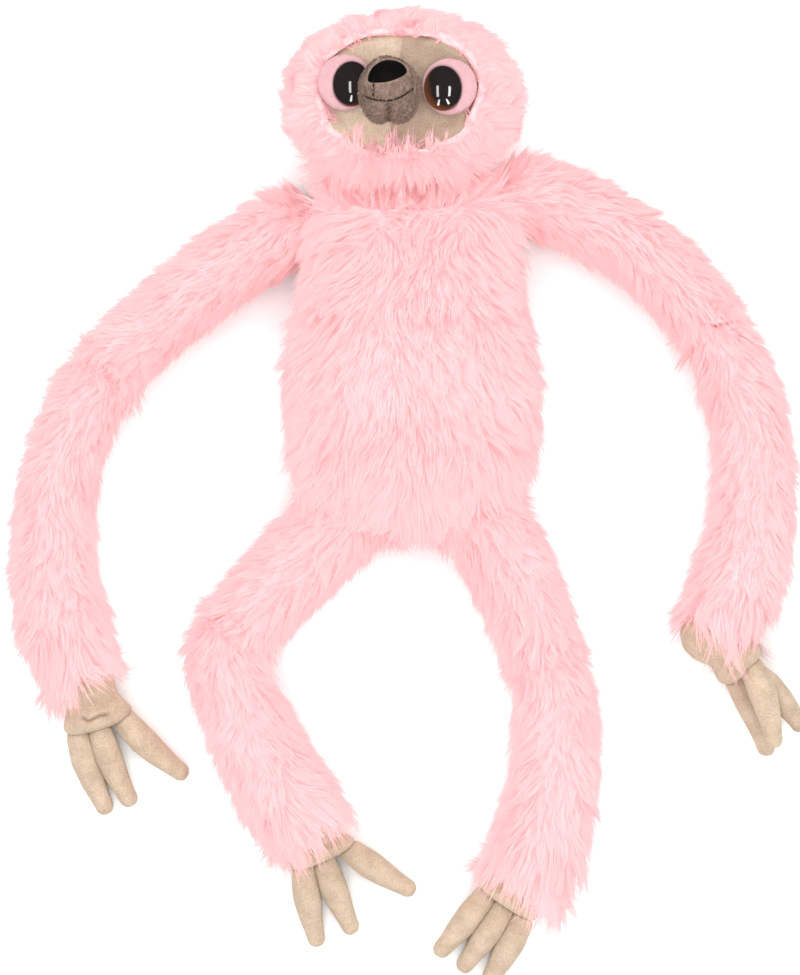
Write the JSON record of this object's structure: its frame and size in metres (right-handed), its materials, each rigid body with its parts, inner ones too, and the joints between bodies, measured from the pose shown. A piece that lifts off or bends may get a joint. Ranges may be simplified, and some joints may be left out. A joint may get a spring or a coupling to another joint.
{
  "type": "plush sloth",
  "caption": "Long-limbed pink plush sloth lying on its back, with stuffed head, torso, bending arms and legs, fabric claws and plastic eyes",
  "frame": {"origin": "the middle of the flat on the back of the torso, where the toy rests", "axes": "+Y from the feet to the head, +Z out of the chest and face, +X to the toy's left"},
  "size_m": [0.4514, 0.5531, 0.1167],
  "materials": {
    "pink_plush": "pale pink long-pile plush, matt, with combed pointed tufts",
    "filling": "white polyester fibre filling",
    "beige_short_plush": "beige short-pile plush, matt",
    "taupe_short_plush": "taupe short-pile plush, matt",
    "black_velour": "black velour, soft sheen",
    "pink_satin": "smooth lilac-pink plush, soft sheen",
    "eye_plastic": "polished clear plastic over a brown iris and a black pupil",
    "washer_plastic": "natural white plastic"
  },
  "bodies": {
    "torso": {"torso_skin": "pink_plush", "torso_filling": "filling"},
    "right_upper_arm": {"right_upper_arm_skin": "pink_plush", "right_upper_arm_filling": "filling"},
    "right_forearm": {"right_forearm_skin": "pink_plush", "right_forearm_filling": "filling"},
    "right_hand": {"right_hand": "beige_short_plush", "right_hand_inner_claw": "beige_short_plush", "right_hand_middle_claw": "beige_short_plush", "right_hand_outer_claw": "beige_short_plush"},
    "left_upper_arm": {"left_upper_arm_skin": "pink_plush", "left_upper_arm_filling": "filling"},
    "left_forearm": {"left_forearm_skin": "pink_plush", "left_forearm_filling": "filling"},
    "left_hand": {"left_hand": "beige_short_plush", "left_hand_inner_claw": "beige_short_plush", "left_hand_middle_claw": "beige_short_plush", "left_hand_outer_claw": "beige_short_plush"},
    "right_thigh": {"right_thigh_skin": "pink_plush", "right_thigh_filling": "filling"},
    "right_shin": {"right_shin_skin": "pink_plush", "right_shin_filling": "filling"},
    "right_foot": {"right_foot": "beige_short_plush", "right_foot_inner_claw": "beige_short_plush", "right_foot_middle_claw": "beige_short_plush", "right_foot_outer_claw": "beige_short_plush"},
    "left_thigh": {"left_thigh_skin": "pink_plush", "left_thigh_filling": "filling"},
    "left_shin": {"left_shin_skin": "pink_plush", "left_shin_filling": "filling"},
    "left_foot": {"left_foot": "beige_short_plush", "left_foot_inner_claw": "beige_short_plush", "left_foot_middle_claw": "beige_short_plush", "left_foot_outer_claw": "beige_short_plush"},
    "head": {"right_eye": "eye_plastic", "right_eye_washer": "washer_plastic", "right_eye_pad": "pink_satin", "left_eye": "eye_plastic", "left_eye_washer": "washer_plastic", "left_eye_pad": "pink_satin", "head_skin": "pink_plush", "head_filling": "filling", "face_panel": "beige_short_plush", "muzzle": "taupe_short_plush", "nose": "black_velour"}
  },
  "joints": [
    {"name": "right_shoulder", "type": "hinge", "parent": "torso", "child": "right_upper_arm", "pos_m": [-0.07195, 0.08098, 0.02123], "axis": [-0.5, 0.866, 0], "range_deg": [0, 48]},
    {"name": "right_elbow", "type": "hinge", "parent": "right_upper_arm", "child": "right_forearm", "pos_m": [-0.1817, -0.01111, 0.0193], "axis": [-0.8829, 0.4695, 0], "range_deg": [0, 35]},
    {"name": "right_wrist", "type": "hinge", "parent": "right_forearm", "child": "right_hand", "pos_m": [-0.186, -0.17506, 0.01495], "axis": [-0.9511, -0.309, 0], "range_deg": [0, 30]},
    {"name": "left_shoulder", "type": "hinge", "parent": "torso", "child": "left_upper_arm", "pos_m": [0.0668, 0.099, 0.02123], "axis": [-0.2419, -0.9703, 0], "range_deg": [0, 48]},
    {"name": "left_elbow", "type": "hinge", "parent": "left_upper_arm", "child": "left_forearm", "pos_m": [0.17699, 0.01292, 0.0193], "axis": [-0.8988, -0.4384, 0], "range_deg": [0, 35]},
    {"name": "left_wrist", "type": "hinge", "parent": "left_forearm", "child": "left_hand", "pos_m": [0.16846, -0.14969, 0.01495], "axis": [-0.6691, -0.7431, 0], "range_deg": [0, 30]},
    {"name": "right_hip", "type": "hinge", "parent": "torso", "child": "right_thigh", "pos_m": [-0.041, -0.0864, 0.02413], "axis": [-1, 0, 0], "range_deg": [0, 50]},
    {"name": "right_knee", "type": "hinge", "parent": "right_thigh", "child": "right_shin", "pos_m": [-0.10707, -0.15725, 0.02075], "axis": [-1, 0, 0], "range_deg": [0, 35]},
    {"name": "right_ankle", "type": "hinge", "parent": "right_shin", "child": "right_foot", "pos_m": [-0.05702, -0.25986, 0.01495], "axis": [-1, 0, 0], "range_deg": [0, 25]},
    {"name": "left_hip", "type": "hinge", "parent": "torso", "child": "left_thigh", "pos_m": [0.041, -0.0864, 0.02413], "axis": [-1, 0, 0], "range_deg": [0, 50]},
    {"name": "left_knee", "type": "hinge", "parent": "left_thigh", "child": "left_shin", "pos_m": [0.07878, -0.1754, 0.02075], "axis": [-1, 0, 0], "range_deg": [0, 35]},
    {"name": "left_ankle", "type": "hinge", "parent": "left_shin", "child": "left_foot", "pos_m": [0.06306, -0.2872, 0.01495], "axis": [-1, 0, 0], "range_deg": [0, 25]},
    {"name": "neck", "type": "hinge", "parent": "torso", "child": "head", "pos_m": [-0.0025, 0.1206, 0.03268], "axis": [1, 0, 0], "range_deg": [0, 30]}
  ]
}
